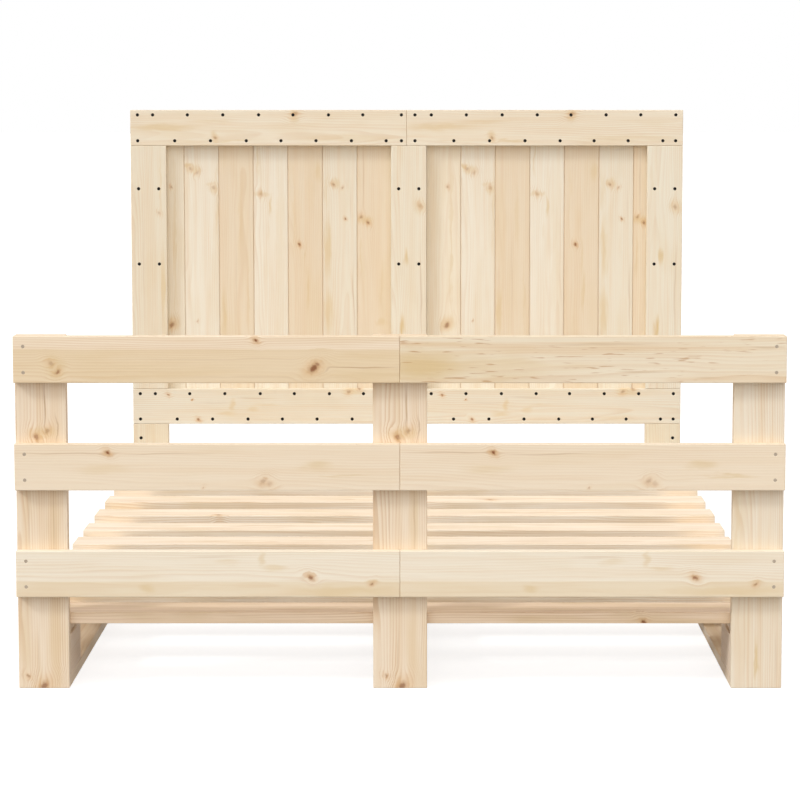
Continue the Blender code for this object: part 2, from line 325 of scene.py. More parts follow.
# %% The layer a point belongs to
SUMMER_START, SUMMER_FULL = 0.30, 0.88
AUTUMN_START, AUTUMN_FULL = 0.90, 1.0


def summer_growth(tree, board_place, u, v, w, heart, lean, seed):
    """From 0 in spring wood to 1 in the thin summer layer."""
    bend = along_grain(tree, board_place, BEND_LENGTH, BEND_WIDTH, seed)
    aside = add_node(tree, "ShaderNodeMapRange",
                     {0: bend, 3: heart[0] - BEND_REACH, 4: heart[0] + BEND_REACH})
    other_bend = along_grain(tree, board_place, DEPTH_BEND_LENGTH, DEPTH_BEND_WIDTH, seed + DEPTH_SEED)
    below = add_node(tree, "ShaderNodeMapRange",
                     {0: other_bend, 3: heart[1] - BEND_REACH, 4: heart[1] + BEND_REACH})
    across = add_node(tree, "ShaderNodeMath", {0: v, 1: aside}, operation="ADD")
    tapered = add_node(tree, "ShaderNodeMath", {0: u, 1: lean, 2: below}, operation="MULTIPLY_ADD")
    down = add_node(tree, "ShaderNodeMath", {0: w, 1: tapered}, operation="ADD")
    spoke = add_node(tree, "ShaderNodeCombineXYZ", {0: across, 1: down})
    from_heart = add_node(tree, "ShaderNodeVectorMath", {0: spoke}, operation="LENGTH")
    years = add_node(tree, "ShaderNodeMath", {0: from_heart, 1: YEAR}, operation="DIVIDE")
    season = add_node(tree, "ShaderNodeMath", {0: years}, operation="FRACT")
    summer = add_node(tree, "ShaderNodeMapRange", {0: season, 1: SUMMER_START, 2: SUMMER_FULL}, **SOFT_STEP)
    autumn = add_node(tree, "ShaderNodeMapRange",
                      {0: season, 1: AUTUMN_START, 2: AUTUMN_FULL, 3: 1.0, 4: 0.0}, **SOFT_STEP)
    return add_node(tree, "ShaderNodeMath", {0: summer, 1: autumn}, operation="MULTIPLY")


# %% [markdown]
# ## Planed, unfinished pine
#
# The bed's boards are planed and left bare: no oil, no varnish. That gives a pale, matt surface with only a
# faint sheen on the hard summer layers, and a colour from cream to light amber that differs from board to
# board. Its index of refraction is that of wood's cellulose, about 1.53, and its roughness about 0.6, or
# nearly 0.8 where it is only sawn.
#
# The ends of a board drink light, because there the eye looks into the open fibres, so they are a little
# darker. A sawn face, as on the blocks under the slats, also keeps the marks of the saw's teeth
# across the grain.

# %% Tones of pine
PALE_SAPWOOD = "ECE6D5"
CREAM_SAPWOOD = "EAE0CA"
WARM_SAPWOOD = "E6D8BF"
SLAT_SAPWOOD = "F4E9D6"
HEARTWOOD = "DFC39B"
AMBER = "DAC293"
BROWN_STREAK = "BC9C76"
SUMMER_LAYER = "CFAA7E"
RESIN_HALO = "D8AE76"
KNOT_BROWN = "BF966C"
KNOT_CORE = "84522F"
FLECK = "B5824F"
ALONG = {"X": (1, 0, 0), "Y": (0, 1, 0), "Z": (0, 0, 1)}
print("summer layer as light:", [round(share, 3) for share in linear(SUMMER_LAYER)[:3]])


# %% Colour of one board
STREAK_START, STREAK_FULL = 0.38, 0.72
CLOUD_START, CLOUD_FULL, CLOUD_SHARE = 0.48, 0.74, 0.7
FIGURE_START, FIGURE_FULL, WEAK_FIGURE_SHARE = 0.30, 0.72, 0.12
KNOT_FIGURE_GAIN = 0.30
FIBRE_START, FIBRE_FULL, FIBRE_SHARE = 0.45, 0.80, 0.18


def pine_colour(tree, board_place, layer, tone, rings, streaks, seed, near):
    """Sapwood with streaks and clouds of heartwood, summer layers and fibres."""
    noise = along_grain(tree, board_place, STREAK_LENGTH, STREAK_WIDTH, seed + STREAK_SEED, detail=3.0)
    streak = add_node(tree, "ShaderNodeMapRange", {0: noise, 1: STREAK_START, 2: STREAK_FULL, 4: streaks},
                      **SOFT_STEP)
    colour = add_node(tree, "ShaderNodeMix", {0: streak, 6: linear(tone), 7: linear(HEARTWOOD)}, **COLOUR_MIX)
    noise = along_grain(tree, board_place, CLOUD_LENGTH, CLOUD_WIDTH, seed + CLOUD_SEED)
    cloud = add_node(tree, "ShaderNodeMapRange",
                     {0: noise, 1: CLOUD_START, 2: CLOUD_FULL, 4: streaks * CLOUD_SHARE}, **SOFT_STEP)
    colour = add_node(tree, "ShaderNodeMix", {0: cloud, 6: colour, 7: linear(AMBER)}, **COLOUR_MIX)
    noise = along_grain(tree, board_place, FIGURE_LENGTH, FIGURE_WIDTH, seed + FIGURE_SEED)
    strength = add_node(tree, "ShaderNodeMapRange", {0: noise, 1: FIGURE_START, 2: FIGURE_FULL,
                                                    3: rings * WEAK_FIGURE_SHARE, 4: rings}, **SOFT_STEP)
    if near:
        strength = add_node(tree, "ShaderNodeMath", {0: near, 1: KNOT_FIGURE_GAIN, 2: strength},
                            operation="MULTIPLY_ADD")
    share = add_node(tree, "ShaderNodeMath", {0: layer, 1: strength}, operation="MULTIPLY", use_clamp=True)
    colour = add_node(tree, "ShaderNodeMix", {0: share, 6: colour, 7: linear(SUMMER_LAYER)}, **COLOUR_MIX)
    fibres = along_grain(tree, board_place, FIBRE_LENGTH, FIBRE_WIDTH, seed + FIBRE_SEED)
    share = add_node(tree, "ShaderNodeMapRange", {0: fibres, 1: FIBRE_START, 2: FIBRE_FULL, 4: FIBRE_SHARE},
                     **SOFT_STEP)
    return add_node(tree, "ShaderNodeMix", {0: share, 6: colour, 7: linear(HEARTWOOD)}, **COLOUR_MIX), fibres


# %% Planed pine, one piece of tree for each board
SEAM_DUST_AND_SHADE_REACH = 0.0022
FLECK_START, FLECK_FULL = 0.64, 0.76
END_START, END_FULL, END_SHARE = 0.75, 0.97, 0.38
PLANED_ROUGHNESS, SAWN_ROUGHNESS = (0.52, 0.64), (0.74, 0.80)
PLANED_RELIEF, SAWN_RELIEF = 0.0002, 0.0005
LAYER_RELIEF_SHARE, SAW_MARK_SHARE, RELIEF_STRENGTH = 0.5, 0.4, 0.6
WOOD_IOR, WOOD_SPECULAR = 1.53, 0.35


def planed_pine(node, axes, tone, seed, heart=(0.0, 0.07), lean=0.012, rings=0.42, streaks=0.45,
                knots=(), stains=(), flecks=0.0, band=None, seam_dust_and_shade=0.0, sawn=False):
    """Makes a board's pine and gives it to the board. heart is how far beside and below the board's middle
    the heart of the tree lies; lean is how much the tree tapers; band is where a strip of warmer wood starts
    and is full, and its share; the joints' darkness is how dark both long edges are painted, as their dust
    and as painted shade in the grooves between the planks."""
    material, tree, shader = fresh_material(f"{'sawn pine' if sawn else 'planed unfinished pine'}, {node}")
    u, v, w = on_board(tree, node, axes)
    board_place = add_node(tree, "ShaderNodeCombineXYZ", {0: u, 1: v, 2: w})
    across_face, near = v, None
    if knots:
        face = broken_edges(tree, board_place, u, v, KNOT_GRIT, KNOT_GRIT_SIZE, KNOT_GRIT_SIZE, seed)
        push, core, brown, halo, near = add_knots(tree, face, v, marks_on_board(node, axes, knots))
        v = add_node(tree, "ShaderNodeMath", {0: v, 1: push}, operation="SUBTRACT")
    layer = summer_growth(tree, board_place, u, v, w, heart, lean, seed)
    colour, fibres = pine_colour(tree, board_place, layer, tone, rings, streaks, seed, near)

    if band:
        share = add_node(tree, "ShaderNodeMapRange", {0: v, 1: band[0], 2: band[1], 4: band[2]}, **SOFT_STEP)
        colour = add_node(tree, "ShaderNodeMix", {0: share, 6: colour, 7: linear(AMBER)}, **COLOUR_MIX)
    if stains:
        marks = marks_on_board(node, axes, stains)
        clouds = [mark for mark in marks if min(mark[2:4]) >= STREAK_LIMIT]
        thin = [mark for mark in marks if min(mark[2:4]) < STREAK_LIMIT]
        for kind, shade, grit, grit_size in ((clouds, AMBER, CLOUD_GRIT, CLOUD_GRIT_SIZE),
                                             (thin, BROWN_STREAK, STREAK_GRIT, STREAK_GRIT_SIZE)):
            if kind:
                face = broken_edges(tree, board_place, u, v, grit, *grit_size, seed + STAIN_SEED)
                share = add_stains(tree, face, kind)
                colour = add_node(tree, "ShaderNodeMix", {0: share, 6: colour, 7: linear(shade)},
                                  **COLOUR_MIX)
    if flecks:
        noise = along_grain(tree, board_place, FLECK_LENGTH, FLECK_WIDTH, seed + FLECK_SEED, detail=1.0)
        share = add_node(tree, "ShaderNodeMapRange", {0: noise, 1: FLECK_START, 2: FLECK_FULL, 4: flecks},
                         **SOFT_STEP)
        colour = add_node(tree, "ShaderNodeMix", {0: share, 6: colour, 7: linear(FLECK)}, **COLOUR_MIX)
    if knots:
        for share, shade in ((halo, RESIN_HALO), (brown, KNOT_BROWN), (core, KNOT_CORE)):
            colour = add_node(tree, "ShaderNodeMix", {0: share, 6: colour, 7: linear(shade)}, **COLOUR_MIX)

    # both long edges are darkened: the joints' dust, and painted shade in the grooves between the planks
    if seam_dust_and_shade:
        low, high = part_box(node)
        edge = (high - low)[AXIS_NUMBER[axes[1]]] / 2
        from_middle = add_node(tree, "ShaderNodeMath", {0: across_face}, operation="ABSOLUTE")
        share = add_node(tree, "ShaderNodeMapRange", {0: from_middle, 1: edge - SEAM_DUST_AND_SHADE_REACH,
                                                      2: edge - SEAM_DUST_AND_SHADE_REACH / 2, 4: seam_dust_and_shade}, **SOFT_STEP)
        colour = add_node(tree, "ShaderNodeMix", {0: share, 6: colour, 7: linear(KNOT_BROWN)}, **COLOUR_MIX)

    # the ends are darker, because their fibres are open
    facing = add_node(tree, "ShaderNodeNewGeometry").outputs["Normal"]
    end_on = add_node(tree, "ShaderNodeVectorMath", {0: facing, 1: ALONG[axes[0]]}, operation="DOT_PRODUCT")
    end_on = add_node(tree, "ShaderNodeMath", {0: end_on}, operation="ABSOLUTE")
    share = add_node(tree, "ShaderNodeMapRange", {0: end_on, 1: END_START, 2: END_FULL, 4: END_SHARE},
                     **SOFT_STEP)
    colour = add_node(tree, "ShaderNodeMix", {0: share, 6: colour, 7: linear(HEARTWOOD)}, **COLOUR_MIX)
    tree.links.new(colour.outputs[2], shader.inputs["Base Color"])

    # summer layers are harder, so the planer leaves them a little smoother and prouder
    smooth, rough = SAWN_ROUGHNESS if sawn else PLANED_ROUGHNESS
    roughness = add_node(tree, "ShaderNodeMapRange", {0: layer, 3: rough, 4: smooth})
    tree.links.new(roughness.outputs[0], shader.inputs["Roughness"])
    relief = add_node(tree, "ShaderNodeMath", {0: layer, 1: LAYER_RELIEF_SHARE, 2: fibres},
                      operation="MULTIPLY_ADD")
    if sawn:
        teeth = add_node(tree, "ShaderNodeMath", {0: u, 1: 2 * math.pi / SAW_MARK_SPACING},
                         operation="MULTIPLY")
        marks = add_node(tree, "ShaderNodeMath", {0: teeth}, operation="SINE")
        relief = add_node(tree, "ShaderNodeMath", {0: marks, 1: SAW_MARK_SHARE, 2: relief},
                          operation="MULTIPLY_ADD")
    depth = SAWN_RELIEF if sawn else PLANED_RELIEF
    bump = add_node(tree, "ShaderNodeBump",
                    {"Height": relief, "Distance": depth, "Strength": RELIEF_STRENGTH})
    tree.links.new(bump.outputs[0], shader.inputs["Normal"])
    shader.inputs["IOR"].default_value = WOOD_IOR
    shader.inputs["Specular IOR Level"].default_value = WOOD_SPECULAR

    boards[node].data.materials.clear()
    boards[node].data.materials.append(material)


def dressed(start):
    """How many boards with a name that starts like this have their own pine."""
    names = [name for name in boards if name.startswith(start)]
    return sum(f"pine, {name}" in boards[name].data.materials[0].name for name in names)


# %% [markdown]
# ## The foot end's boards and posts
#
# Six boards make the three open rows. The upper left one has large dark knots and long soft lines, the upper
# right one is streaked with short dark flecks of resin, and the others are plainer. In the upper left board
# the lower two thirds are warmer wood, and in the lowest boards the lower third. Each board and post gets its
# own piece of tree. Its knots and clouds are its own too, or repeat those of another.

# %% Foot boards
BOARD_REPEAT = 739
planed_pine("foot_board_top_left", "XZY", tone="F0E1C9", seed=1.0, rings=0.42, streaks=0.32,
            heart=(0.055, 0.05), band=(0.0205, 0.0175, 0.45),
            knots=[(-275, 680, 4.5, 1), (-165, 626, 9.5, 0.9), (-158, 634, 6, 0.55), (-654, 619, 5.5, 0.6),
                   (-666, 636, 6, 0.25)],
            stains=[(-77, 628, 73, 1.7, 0.75), (-67, 650, 69, 6.7, 0.2), (-658, 630, 21, 19, 0.4),
                    (-346, 644, 192, 1.9, 0.15), (-54, 615, 90, 14, 0.4), (-269, 609, 173, 2.3, 0.15)])
planed_pine("foot_board_top_right", "XZY", tone="EBE0C8", seed=3.3, rings=0.36, streaks=0.60,
            heart=(0.05, 0.08), lean=0.004, flecks=0.62,
            stains=[(44, 630, 80, 34, 0.95), (77, 673, 69, 3.8, 0.3), (154, 636, 153, 11, 0.25),
                    (702, 665, 32, 2.3, 0.4), (587, 607, 26, 2.3, 0.3), (462, 619, 50, 1.9, 0.4),
                    (385, 673, 115, 2.3, 0.3)])
MIDDLE_KNOTS = [(-560, 464, 5, 0.95), (-262, 409, 6.5, 0.25), (-250, 405, 6, 0.1), (-377, 396, 2.2, 0.25)]
MIDDLE_STAINS = [(-631, 464, 107, 1.5, 0.45), (-452, 461, 86, 1.3, 0.45), (-569, 432, 51, 9.6, 0.3),
                 (-158, 440, 28, 11, 0.5), (-106, 419, 53, 3.1, 0.5), (-183, 434, 15, 5.8, 0.25)]
BOTTOM_KNOTS = [(-171, 221, 6, 0.7), (-54, 209, 4, 0.5)]
BOTTOM_STAINS = [(-485, 201, 17, 9.6, 0.55), (-331, 251, 25, 6.2, 0.3), (-265, 257, 7.7, 15, 0.45),
                 (-240, 240, 26, 6.7, 0.4), (-362, 261, 50, 2.9, 0.2), (-106, 196, 115, 11, 0.45)]
for side, step, seed in (("left", 0, 5.6), ("right", BOARD_REPEAT, 7.9)):
    planed_pine(f"foot_board_middle_{side}", "XZY", tone="EDDFC7", seed=seed, rings=0.18, streaks=0.20,
                heart=(0.05, 0.05), knots=moved(MIDDLE_KNOTS, step), stains=moved(MIDDLE_STAINS, step))
    planed_pine(f"foot_board_bottom_{side}", "XZY", tone="EFE7D4", seed=seed + 4.6, rings=0.24, streaks=0.20,
                heart=(0.03, 0.05), band=(-0.013, -0.016, 0.35), knots=moved(BOTTOM_KNOTS, step),
                stains=moved(BOTTOM_STAINS, step))
print("foot boards:", dressed("foot_board"))

# %% Foot posts
POST_REPEAT = 694
POST_KNOTS = [(491, -699, 7, 0.5), (503, -678, 6, 0.3), (24, -721, 4, 0.4), (4, -690, 10, 0.65)]
POST_STAINS = [(87, -668, 100, 15, 0.25), (329, -665, 65, 11, 0.25), (329, -667, 65, 1.5, 0.35),
               (68, -699, 57, 1.5, 0.3), (551, -682, 46, 1.9, 0.8), (507, -661, 27, 2.3, 0.6),
               (499, -686, 13, 23, 0.5), (338, -715, 57, 1.5, 0.25), (97, -653, 86, 1.5, 0.15)]
for side, step, seed in (("left", 0, 20.0), ("centre", POST_REPEAT, 22.3)):
    planed_pine(f"foot_post_{side}", "ZXY", tone="EEDFC8", seed=seed, rings=0.60, streaks=0.45,
                heart=(0.05, 0.045), knots=moved(POST_KNOTS, across=step),
                stains=moved(POST_STAINS, across=step))
planed_pine("foot_post_right", "ZXY", tone="ECE2CE", seed=24.6, rings=0.45, streaks=0.40, heart=(0.045, 0.05),
            stains=[(55, 689, 50, 3.5, 0.8), (329, 649, 85, 4.6, 0.25), (58, 728, 61, 2.3, 0.2),
                    (97, 664, 77, 17, 0.15)])
print("foot posts:", dressed("foot_post"))

# %% [markdown]
# ## The base
#
# The base is built like a pallet: flat runners on the floor, sawn blocks, flat stringers on the blocks, and
# slats across them. The slats start from the palest tones of the bed. The runners, stringers and blocks lie
# under them and show little, so their wood is hardly sorted and darker. The second block on each side is
# painted darker than its wood, as painted shade for the deep shade under the bed, and the other blocks are
# painted paler, partly as painted light on their inner sides. The blocks at the sides are left as the saw
# left them.

# %% Slats
SLAT_COUNT = 11
SLAT_KNOTS = {
    3: [(-120, -570, 6.0, 0.7)],
    5: [(-60, -190, 5.0, 0.3)],
    7: [(-444, 160, 6.0, 0.85)],
    8: [(210, 390, 6.0, 0.5)],
    10: [(-310, 760, 7.0, 0.8)],
}
# slat_01 has a warm tone of its own, chosen in part as painted light: it makes up for light missing in the
# shade under the foot boards
planed_pine("slat_01", "XZY", tone="FAE5CA", seed=41.7, rings=0.60, streaks=0.55, heart=(0.02, 0.03),
            knots=[(473, 126, 5, 0.95)])
for number in range(2, SLAT_COUNT + 1):
    planed_pine(f"slat_{number:02d}", "XYZ", tone=SLAT_SAPWOOD, seed=40 + number * 1.7,
                rings=0.45, streaks=0.50, heart=(0.012 * (number % 3 - 1), 0.05),
                knots=SLAT_KNOTS.get(number, ()))
print("slats:", dressed("slat"))

# %% Runners, stringers and blocks
BASE_BOARDS = ["runner_left", "runner_right", "centre_bearer", "stringer_left", "stringer_centre",
               "stringer_right"]
for number, node in enumerate(BASE_BOARDS):
    planed_pine(node, "YXZ", tone="EFDFC6", seed=60.0 + number * 2.9, rings=0.45, streaks=0.45)
BLOCKS = [f"block_{side}_{number}" for side in ("left", "right") for number in range(1, 5)]
# the second block on each side is painted darker, as painted shade for the deep shade under the bed; the
# others are painted paler, partly as painted light on their inner sides
BLOCK_IN_PAINTED_SHADE, PALE_BLOCK_PAINTED_LIGHT = "DAC4AA", "F2E2CF"
for number, node in enumerate(BLOCKS):
    tone = BLOCK_IN_PAINTED_SHADE if node.endswith("2") else PALE_BLOCK_PAINTED_LIGHT
    planed_pine(node, "YXZ", tone=tone, seed=80.0 + number * 3.1, rings=0.35, streaks=0.22,
                heart=(0.02 - 0.011 * (number % 4), 0.055), sawn=True)
print("base boards and blocks:", len(BASE_BOARDS), len(BLOCKS))

# %% [markdown]
# ## The headboard
#
# A frame of rails and stiles holds fifteen tongue-and-groove planks. Pale and warm planks mostly take turns,
# as they come from the pack, and the figure of the first planks comes back from the ninth on. The frame's
# boards lie flat in front of the planks, and are a little warmer than the palest of them.

# %% Headboard frame
TOP_RAIL_REPEAT, BOTTOM_RAIL_REPEAT, STILE_REPEAT = 740, 739, 684
TOP_RAIL_KNOTS = [(-512, 1026, 5, 0.3), (-299, 1089, 8, 0.25)]
TOP_RAIL_STAINS = [(-657, 1054, 91, 10, 0.55), (-525, 1069, 64, 5.9, 0.3), (-514, 1030, 10, 16, 0.45),
                   (-461, 1019, 43, 4.3, 0.5), (-299, 1089, 13, 16, 0.4), (-153, 1025, 151, 10, 0.3),
                   (-617, 1015, 64, 3.2, 0.15)]
BOTTOM_RAIL_KNOTS = [(-644, 334, 4, 0.6), (-579, 321, 1.9, 0.95), (-563, 267, 4.5, 0.65),
                     (-156, 342, 5.5, 0.3), (-129, 351, 5, 0.35)]
BOTTOM_RAIL_STAINS = [(-471, 307, 8.1, 18, 0.55), (-485, 283, 27, 7, 0.5), (-415, 294, 16, 8.1, 0.4),
                      (-377, 307, 43, 3.8, 0.3), (-145, 345, 35, 9.4, 0.45),
                      (-520, 313, 59, 2.4, 0.15), (-417, 326, 53, 2.7, 0.25)]
STILE_STAINS = [(706, -2, 24, 8.1, 0.8), (515, -12, 35, 8.1, 0.95), (844, 36, 27, 13, 0.3),
                (615, 38, 129, 2.4, 0.35), (884, -29, 107, 3.2, 0.15)]
HEADBOARD_FRAME = {
    "headboard_top_rail_left": ("XZY", "EAE1CC", TOP_RAIL_KNOTS, TOP_RAIL_STAINS),
    "headboard_top_rail_right": ("XZY", "EAE1CC", moved(TOP_RAIL_KNOTS, TOP_RAIL_REPEAT),
                                 moved(TOP_RAIL_STAINS, TOP_RAIL_REPEAT)),
    "headboard_bottom_rail_left": ("XZY", "E5DFCD", BOTTOM_RAIL_KNOTS, BOTTOM_RAIL_STAINS),
    "headboard_bottom_rail_right": ("XZY", "E5DFCD", moved(BOTTOM_RAIL_KNOTS, BOTTOM_RAIL_REPEAT),
                                    moved(BOTTOM_RAIL_STAINS, BOTTOM_RAIL_REPEAT)),
    "headboard_stile_left": ("ZXY", "E7DFCA", [(825, -665, 4, 0.15)],
                             [(898, -659, 113, 4.3, 0.35), (615, -655, 118, 5.9, 0.5),
                              (669, -706, 161, 2.7, 0.15)]),
    "headboard_stile_centre": ("ZXY", "E9E3D0", [(844, 36, 6, 0.15)], STILE_STAINS),
    "headboard_stile_right": ("ZXY", "E9E3D0", [(841, 720, 6.5, 0.25)],
                              moved(STILE_STAINS, across=STILE_REPEAT)),
    "headboard_leg_left": ("ZXY", "E4DAC2", [], []),
    "headboard_leg_right": ("ZXY", "E4DCC5", [], []),
    "headboard_upright_left": ("ZXY", CREAM_SAPWOOD, [(700, -715, 7.0, 0.7)], [(640, -712, 60, 6, 0.4)]),
    "headboard_upright_right": ("ZXY", CREAM_SAPWOOD, [(380, 720, 6.0, 0.7)], [(420, 716, 60, 6, 0.4)]),
}
for number, (node, (axes, tone, knots, stains)) in enumerate(HEADBOARD_FRAME.items()):
    planed_pine(node, axes, tone=tone, seed=110.0 + number * 2.1, rings=0.28, streaks=0.26,
                heart=(0.05, 0.045) if number % 3 else (0.02, 0.05), lean=0.014, knots=knots, stains=stains)
print("headboard frame boards:", len(HEADBOARD_FRAME))

# %% Headboard planks
PLANK_COUNT = 15
PLANK_REPEAT = 743
PLANK_LOOKS = [
    ("ECE3CE", [(894, -633, 3.8, 0.3), (521, -635, 8.5, 0.55)],
     [(527, -633, 24, 16, 0.4), (748, -624, 243, 4.1, 0.4)]),
    (PALE_SAPWOOD, [(943, -581, 5, 0.2), (932, -562, 5, 0.15), (892, -519, 5.5, 0.15),
                    (532, -565, 2.2, 0.15)],
     [(940, -573, 13, 18, 0.45), (951, -587, 6.8, 9.5, 0.7), (902, -524, 5.4, 16, 0.3),
      (884, -519, 16, 8.1, 0.35), (856, -510, 135, 4.1, 0.35)]),
    (WARM_SAPWOOD, [], [(811, -446, 97, 6.5, 0.3), (554, -493, 70, 7.6, 0.6), (600, -428, 108, 4.1, 0.35),
                        (640, -459, 135, 2.7, 0.15)]),
    (PALE_SAPWOOD, [(875, -392, 5.5, 0.15)],
     [(970, -400, 48, 3.5, 0.45), (875, -392, 7, 24, 0.4), (843, -367, 29, 4.9, 0.6),
      (748, -340, 257, 13, 0.2), (775, -373, 27, 4.1, 0.15)]),
    (WARM_SAPWOOD, [(739, -289, 4.8, 0.75)],
     [(935, -239, 27, 9.7, 0.45), (843, -304, 162, 3.2, 0.2), (570, -243, 86, 14, 0.15),
      (613, -267, 59, 5.4, 0.55), (708, -273, 54, 3.2, 0.4)]),
    ("E8E1CE", [(900, -197, 5, 0.35), (892, -173, 3.5, 0.25), (808, -165, 3.4, 0.65)],
     [(905, -192, 14, 13, 0.45), (729, -212, 89, 10, 0.6), (554, -212, 70, 13, 0.6),
      (884, -216, 54, 8.1, 0.3), (843, -151, 59, 1.9, 0.15), (586, -143, 108, 2.2, 0.35)]),
    (WARM_SAPWOOD, [(798, -105, 5.5, 0.55), (813, -123, 5, 0.35)],
     [(805, -111, 13, 21, 0.6), (708, -124, 59, 4.9, 0.45), (529, -70, 9.7, 18, 0.45),
      (911, -116, 97, 2.7, 0.3), (627, -67, 70, 5.4, 0.35)]),
    (CREAM_SAPWOOD, [], []),
]
for number in range(1, PLANK_COUNT + 1):
    repeat, look = divmod(number - 1, len(PLANK_LOOKS))
    tone, knots, stains = PLANK_LOOKS[look]
    step = repeat * PLANK_REPEAT
    # each plank's joints are darkened, for dust and as painted shade in the grooves
    planed_pine(f"headboard_plank_{number:02d}", "ZXY", tone=tone, seed=140.0 + look * 2.7 + repeat * 0.4,
                rings=0.20, streaks=0.26, heart=(0.05 if number % 3 else -0.015, 0.05), seam_dust_and_shade=0.40,
                knots=moved(knots, across=step), stains=moved(stains, across=step))
print("headboard planks:", dressed("headboard_plank"))

# %% [markdown]
# ## The screws
#
# Two kinds of screw show. Zinc-plated ones, 7 mm across the head, hold the ends of the foot boards to the
# outer posts. Black ones, 9 mm across the head, hold the planks to the headboard's frame in two staggered
# rows: the upper screw stands near a plank's left edge and the lower one near its right edge, so that each
# rail holds each plank twice, and the middle one four times. The solids have the countersunk seats, and each
# head lies 0.3 mm deep in its own, where a driver leaves it.
#
# A screw could be a painted dot, but a head with a bevelled rim and a cross-shaped drive catches the light as
# a real one does, and it is small enough to model once and repeat. The cross's corners fall on every second
# of 24 directions when its arm is tan 15 degrees times as wide as it is long, so the cross and the round rim
# can be joined point by point.

# %% One screw head, repeated over a list of places
DIRECTIONS = 24
CORNER_TURN, ROUNDING = 15, 0.1
SHANK = 0.0020
SINK = 0.0003
RIM_FALL, RIM_BEVEL = 0.00015, 0.00004
ZINC_HEAD = 0.0035
BLACK_HEAD = 0.0045


def cross_reach(direction, arm):
    """How far the drive's edge lies from the middle in this direction, for an arm of this length."""
    turn = abs((math.degrees(direction) + 45) % 90 - 45)
    if turn < CORNER_TURN + ROUNDING:
        return arm / math.cos(math.radians(turn))
    return arm * math.tan(math.radians(CORNER_TURN)) / math.sin(math.radians(turn))


def add_screws(name, places, radius, material):
    """Screw heads that face the foot end, sunk into the face at each (x, y, z) place."""
    mesh = bmesh.new()
    # each ring's reach, its depth, and whether it is a cross, from the shank over the rim into the drive
    rings = [
        (SHANK * 0.95, SINK + radius - SHANK, False),
        (radius * 0.99, SINK + RIM_FALL, False),
        (radius * 0.97, SINK + RIM_BEVEL, False),
        (radius * 0.92, SINK, False),
        (radius * 0.62, SINK, True),
        (radius * 0.45, SINK + radius * 0.30, True),
    ]
    for x, y, z in places:
        loops = []
        for reach, depth, is_cross in rings:
            loop = []
            for step in range(DIRECTIONS):
                direction = step * 2 * math.pi / DIRECTIONS
                out = cross_reach(direction, reach) if is_cross else reach
                loop.append(mesh.verts.new((x + out * math.cos(direction), y + depth,
                                            z + out * math.sin(direction))))
            loops.append(loop)
        for inner, outer in zip(loops, loops[1:]):
            for step in range(DIRECTIONS):
                after = (step + 1) % DIRECTIONS
                mesh.faces.new((inner[step], inner[after], outer[after], outer[step]))
        mesh.faces.new(loops[0])
        mesh.faces.new(loops[-1])
    bmesh.ops.recalc_face_normals(mesh, faces=mesh.faces)
    data = bpy.data.meshes.new(name)
    mesh.to_mesh(data)
    mesh.free()
    data.materials.append(material)
    screws = bpy.data.objects.new(name, data)
    bpy.context.scene.collection.objects.link(screws)
    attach(screws, "root")
    print(name, len(places))


# %% [markdown]
# Zinc plating is a thin, slightly milky metal skin that has gone grey, with a soft highlight. It is a metal,
# so its colour belongs to the reflection. The black screws are phosphated: a porous crystal skin of iron
# phosphate covers the steel, and that skin is no metal, so they look like dull soot with only a faint sheen.
# Fine noise in the colour and the roughness stands for the uneven skin.

# %% Zinc-plated and black-phosphated steel
ZINC_PLATE, ZINC_SHADE = "C2B4A2", "A89A89"
BLACK_PHOSPHATE, PHOSPHATE_SHADE = "1B1816", "100E0D"
SKIN_GRAIN = 0.0012
TINT_START, SHEEN_START, SKIN_FULL = 0.35, 0.30, 0.70


def plated_steel(name, colour, shade, smooth, rough, metallic, specular):
    """A screw's skin: two close colours and two roughness values that fine noise mixes."""
    material, tree, shader = fresh_material(name)
    place = add_node(tree, "ShaderNodeTexCoord").outputs["Object"]
    skin = add_node(tree, "ShaderNodeTexNoise", {"Vector": place, "Scale": 1 / SKIN_GRAIN, "Detail": 2.0})
    share = add_node(tree, "ShaderNodeMapRange", {0: skin, 1: TINT_START, 2: SKIN_FULL}, **SOFT_STEP)
    tint = add_node(tree, "ShaderNodeMix", {0: share, 6: linear(colour), 7: linear(shade)}, **COLOUR_MIX)
    tree.links.new(tint.outputs[2], shader.inputs["Base Color"])
    sheen = add_node(tree, "ShaderNodeMapRange", {0: skin, 1: SHEEN_START, 2: SKIN_FULL, 3: smooth, 4: rough},
                     **SOFT_STEP)
    tree.links.new(sheen.outputs[0], shader.inputs["Roughness"])
    shader.inputs["Metallic"].default_value = metallic
    shader.inputs["Specular IOR Level"].default_value = specular
    return material


zinc = plated_steel("zinc-plated steel screw", ZINC_PLATE, ZINC_SHADE,
                    smooth=0.38, rough=0.50, metallic=1.0, specular=0.5)
black = plated_steel("black-phosphated steel screw", BLACK_PHOSPHATE, PHOSPHATE_SHADE,
                     smooth=0.55, rough=0.68, metallic=0.0, specular=0.3)
print("screw skins:", zinc.name, "and", black.name)

# %% [markdown]
# The foot boards' screws stand 19.5 mm from the board's end and 25 mm above and below its middle. Along the
# headboard's rails the screws follow the planks, so their places are counted in planks from the first seam.

# %% Screws in the foot boards
FOOT_SCREW_INSET = 0.0195
FOOT_SCREW_RISE = 0.025
for side, end in (("left", 0), ("right", 1)):
    places = []
    for row in ("bottom", "middle", "top"):
        low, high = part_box(f"foot_board_{row}_{side}")
        x = high.x - FOOT_SCREW_INSET if end else low.x + FOOT_SCREW_INSET
        middle = (low.z + high.z) / 2
        places += [(x, low.y, middle - FOOT_SCREW_RISE), (x, low.y, middle + FOOT_SCREW_RISE)]
    add_screws(f"foot_board_screws_{side}", places, ZINC_HEAD, zinc)

